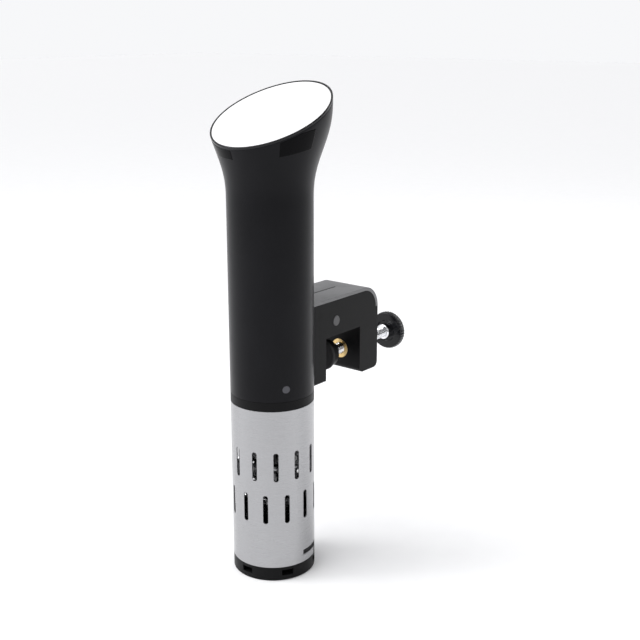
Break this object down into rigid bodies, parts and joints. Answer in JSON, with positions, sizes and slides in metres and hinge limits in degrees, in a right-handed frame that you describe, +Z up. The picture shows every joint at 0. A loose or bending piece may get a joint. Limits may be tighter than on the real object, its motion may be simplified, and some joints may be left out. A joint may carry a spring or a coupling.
{
  "type": "sous vide circulator",
  "caption": "Handheld immersion heater and pump with a flared black head, sloping touch face, screw clamp for a pot's rim and a slotted steel skirt.",
  "frame": {"origin": "middle of the clamp's rim seat, the flat underside of the arm that rests on a pot's rim", "axes": "+Z up along the body, -Y the side the control face slopes down to, +Y out over the pot's rim along the clamp's arm and screw, +X completes a right-handed frame"},
  "size_m": [0.078, 0.1714, 0.325],
  "materials": {
    "black_plastic": "satin moulded",
    "bezel_plastic": "polished",
    "panel_white": "glossy",
    "smoked_window": "glossy smoked",
    "clamp_plastic": "fine texture",
    "cover_grey": "satin",
    "grey_plastic": "satin",
    "steel": "brushed",
    "chrome": "polished",
    "zinc_steel": "zinc plated",
    "brass": "machined",
    "rubber": "matte",
    "board_green": "solder mask",
    "component": "moulded",
    "gold_contact": "plated",
    "copper": "enamelled wire",
    "aluminium": "satin"
  },
  "bodies": {
    "housing": {"upper_housing": "black_plastic", "face_bezel": "bezel_plastic", "control_panel": "panel_white", "front_window": "smoked_window", "side_windows": "smoked_window", "display_board": "board_green", "display_module": "component", "touch_springs": "gold_contact", "buzzer": "component", "power_board": "board_green", "transformer": "copper", "capacitors": "component", "relay": "component", "heatsink": "aluminium", "cord_gland": "rubber", "motor_can": "zinc_steel", "motor_stator": "copper", "motor_mount": "zinc_steel", "motor_screws": "zinc_steel", "mount_posts": "zinc_steel", "bulkhead": "clamp_plastic", "housing_screws": "zinc_steel", "housing_seal": "rubber", "skirt_seal": "rubber", "shaft_bearing": "chrome", "shaft_seal": "rubber", "heater_coil": "steel", "temperature_probe": "steel", "level_pins": "steel", "clamp_bracket": "clamp_plastic", "clamp_cover": "cover_grey", "clamp_pin": "zinc_steel", "pin_caps": "grey_plastic", "wall_strip": "rubber", "threaded_insert": "brass"},
    "drive_line": {"motor_rotor": "steel", "cooling_fan": "clamp_plastic", "shaft_coupling": "aluminium", "drive_shaft": "steel", "impeller": "clamp_plastic", "impeller_nut": "steel"},
    "skirt": {"steel_skirt": "steel"},
    "cap": {"end_cap": "clamp_plastic"},
    "jaw": {"pad_cup": "clamp_plastic", "pressure_pad": "rubber"},
    "thumb_screw": {"clamp_screw": "chrome", "screw_hub": "chrome", "knob": "bezel_plastic"}
  },
  "joints": [
    {"name": "impeller_spin", "type": "hinge", "parent": "housing", "child": "drive_line", "pos_m": [0, -0.054, 0], "axis": [0, 0, 1], "continuous": true},
    {"name": "skirt_pull", "type": "slide", "parent": "housing", "child": "skirt", "axis": [0, 0, -1], "range_m": [0, 0.12]},
    {"name": "cap_turn", "type": "hinge", "parent": "skirt", "child": "cap", "pos_m": [0, -0.054, -0.14], "axis": [0, 0, 1], "range_deg": [0, 30]},
    {"name": "jaw_slide", "type": "slide", "parent": "housing", "child": "jaw", "axis": [0, -1, 0], "range_m": [-0.009, 0.0142]},
    {"name": "screw_turn", "type": "hinge", "parent": "jaw", "child": "thumb_screw", "pos_m": [0, 0, -0.019], "axis": [0, -1, 0], "range_deg": [-1624, 2560]}
  ],
  "couplings": [
    {"joint": "screw_turn", "follows": "jaw_slide", "rad_per_m": 3141.6}
  ]
}
